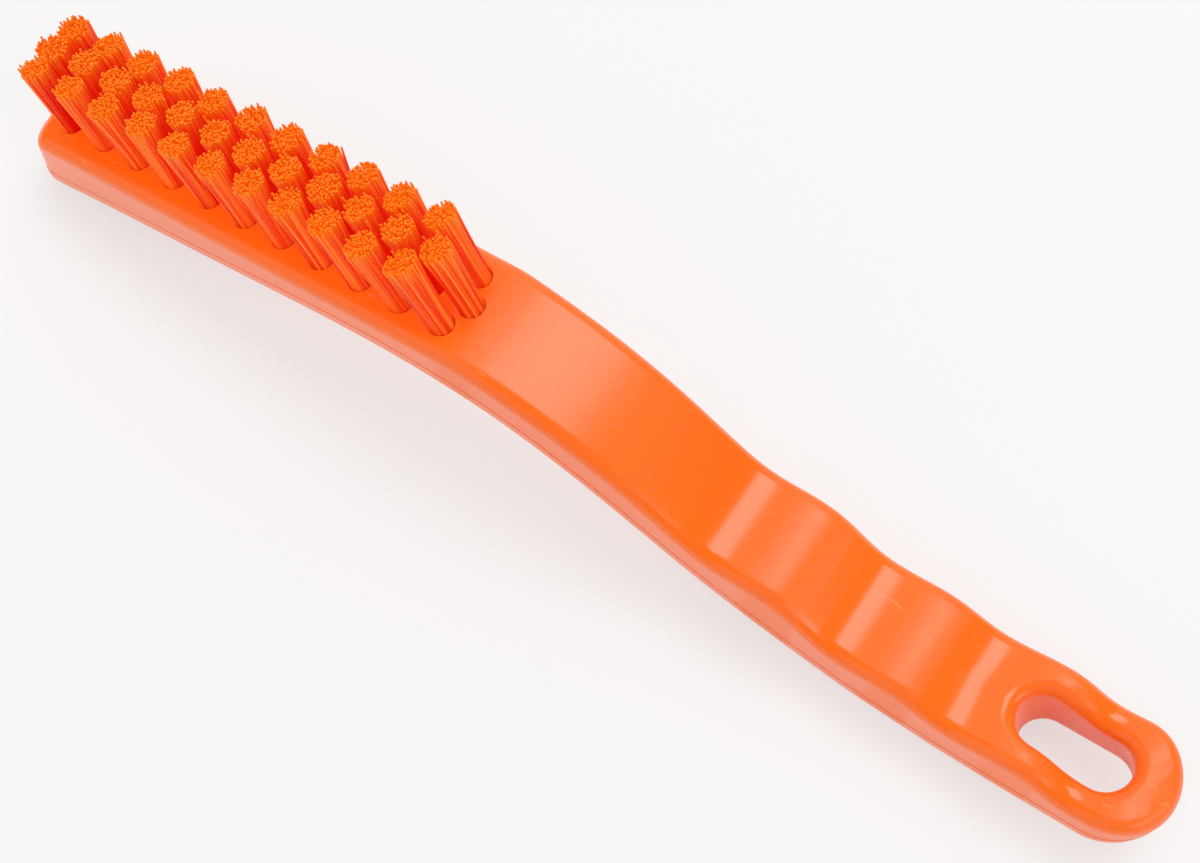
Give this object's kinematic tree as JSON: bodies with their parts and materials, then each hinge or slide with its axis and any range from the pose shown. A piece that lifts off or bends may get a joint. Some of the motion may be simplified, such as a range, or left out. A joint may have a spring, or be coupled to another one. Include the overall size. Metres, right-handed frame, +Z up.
{
  "type": "detailing brush",
  "caption": "Moulded plastic detailing brush with a straight tufted head, cranked neck, finger-grooved grip and a long hang slot in the rounded tail.",
  "frame": {"origin": "bottom centre of the bounding box, on the surface that the brush lies on", "axes": "+X from the tip of the head to the tail with the hang slot, +Z up from the back to the bristle side, Y across the brush"},
  "size_m": [0.2402, 0.0246, 0.0522],
  "materials": {
    "handle_plastic": "glossy moulded polypropylene, opaque orange",
    "tuft_filament": "round crimped polyester filament, orange, slightly clear at its ends"
  },
  "bodies": {
    "root": {"handle_body": "handle_plastic", "tuft_left_01": "tuft_filament", "tuft_left_02": "tuft_filament", "tuft_left_03": "tuft_filament", "tuft_left_04": "tuft_filament", "tuft_left_05": "tuft_filament", "tuft_left_06": "tuft_filament", "tuft_left_07": "tuft_filament", "tuft_left_08": "tuft_filament", "tuft_left_09": "tuft_filament", "tuft_left_10": "tuft_filament", "tuft_left_11": "tuft_filament", "tuft_middle_01": "tuft_filament", "tuft_middle_02": "tuft_filament", "tuft_middle_03": "tuft_filament", "tuft_middle_04": "tuft_filament", "tuft_middle_05": "tuft_filament", "tuft_middle_06": "tuft_filament", "tuft_middle_07": "tuft_filament", "tuft_middle_08": "tuft_filament", "tuft_middle_09": "tuft_filament", "tuft_middle_10": "tuft_filament", "tuft_middle_11": "tuft_filament", "tuft_middle_12": "tuft_filament", "tuft_right_01": "tuft_filament", "tuft_right_02": "tuft_filament", "tuft_right_03": "tuft_filament", "tuft_right_04": "tuft_filament", "tuft_right_05": "tuft_filament", "tuft_right_06": "tuft_filament", "tuft_right_07": "tuft_filament", "tuft_right_08": "tuft_filament", "tuft_right_09": "tuft_filament", "tuft_right_10": "tuft_filament", "tuft_right_11": "tuft_filament"}
  },
  "joints": []
}
